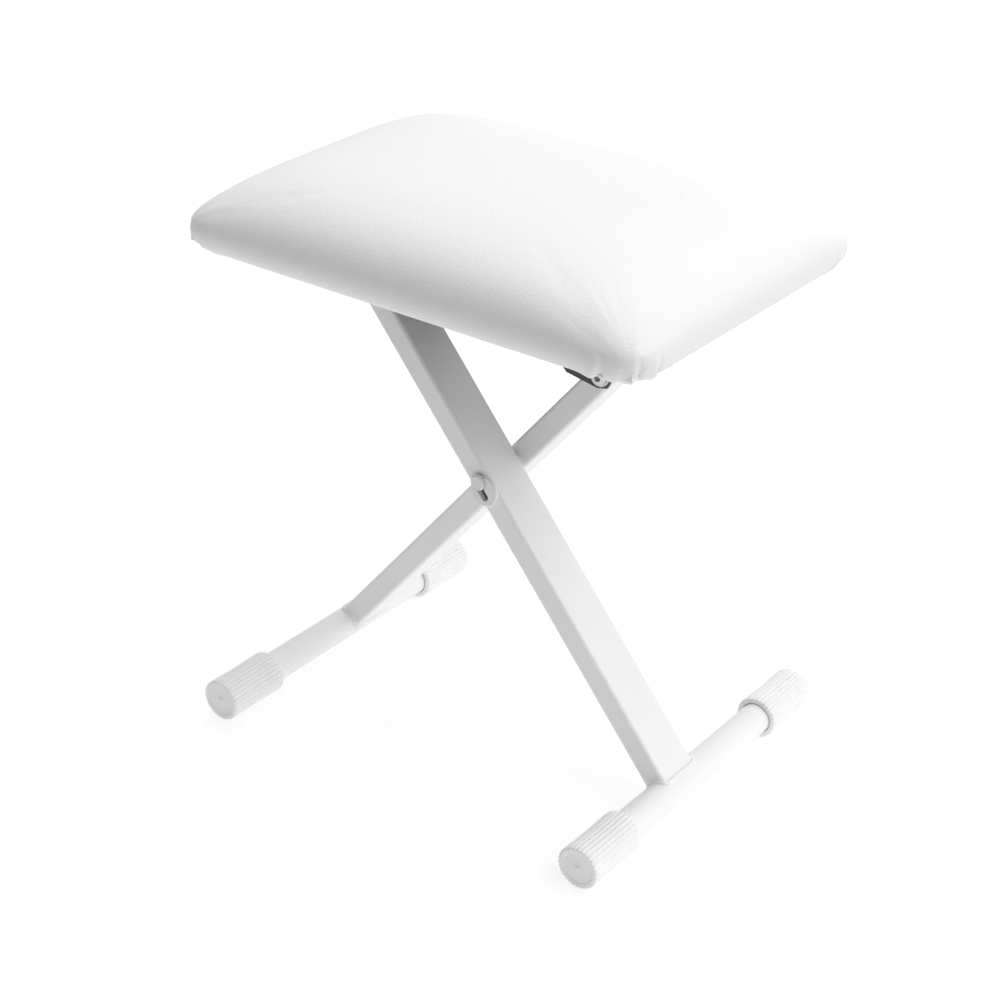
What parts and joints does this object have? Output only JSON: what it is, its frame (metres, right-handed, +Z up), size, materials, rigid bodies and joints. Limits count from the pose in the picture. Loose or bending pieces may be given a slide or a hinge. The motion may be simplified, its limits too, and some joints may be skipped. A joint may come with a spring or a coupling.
{
  "type": "folding keyboard bench",
  "caption": "Folding bench on crossed rectangular tube legs with round floor bars, fluted end caps and a crowned padded seat on slotted rails.",
  "frame": {"origin": "on the floor at the middle of the bench, below the crossing bolt", "axes": "+X along the seat's long side towards the front leg's floor bar, +Y to the back along the floor bars, +Z up"},
  "size_m": [0.4028, 0.306, 0.4628],
  "materials": {
    "white_frame": "satin",
    "white_cap": "matte",
    "white_plug": "matte",
    "pale_hardware": "satin",
    "zinc": "satin",
    "nylon": "satin",
    "dark_rail": "satin",
    "plywood": "matte",
    "foam": "matte",
    "leatherette": "satin",
    "dust_sheet": "matte"
  },
  "bodies": {
    "front_leg_frame": {"front_leg": "white_frame", "front_leg_plug": "white_plug", "right_foot_tube": "white_frame", "right_front_foot_cap": "white_cap", "right_rear_foot_cap": "white_cap", "front_pivot_sleeve": "zinc", "hinge_sleeve": "zinc", "pivot_plate": "pale_hardware", "pivot_bolt": "pale_hardware", "pivot_spacer": "nylon", "pivot_washer": "zinc", "pivot_lock_nut": "zinc"},
    "rear_leg_frame": {"rear_leg": "white_frame", "rear_leg_plug": "white_plug", "left_foot_tube": "white_frame", "left_front_foot_cap": "white_cap", "left_rear_foot_cap": "white_cap", "rear_pivot_sleeve": "zinc", "guide_sleeve": "zinc", "guide_bolt": "zinc", "guide_front_washer": "nylon", "guide_rear_washer": "zinc", "guide_lock_nut": "zinc"},
    "seat": {"hinge_bolt": "zinc", "hinge_front_washer": "zinc", "hinge_rear_washer": "zinc", "hinge_lock_nut": "zinc", "rail_tie_bolt": "zinc", "rail_tie_nut": "zinc", "rail_screws": "zinc", "seat_tee_nuts": "zinc", "cover_staples": "zinc", "hinge_spacer": "zinc", "rail_tie_spacer": "zinc", "front_seat_rail": "dark_rail", "rear_seat_rail": "dark_rail", "seat_board": "plywood", "seat_foam": "foam", "seat_cover": "leatherette", "dust_cover": "dust_sheet"}
  },
  "joints": [
    {"name": "leg_pivot", "type": "hinge", "parent": "front_leg_frame", "child": "rear_leg_frame", "pos_m": [0, 0, 0.2315], "axis": [0, -1, 0], "range_deg": [0, 70]},
    {"name": "seat_hinge", "type": "hinge", "parent": "front_leg_frame", "child": "seat", "pos_m": [-0.10453, 0, 0.35787], "axis": [0, 1, 0], "range_deg": [0, 33.7]}
  ],
  "couplings": [
    {"joint": "seat_hinge", "follows": "leg_pivot", "ratio": 0.48}
  ]
}
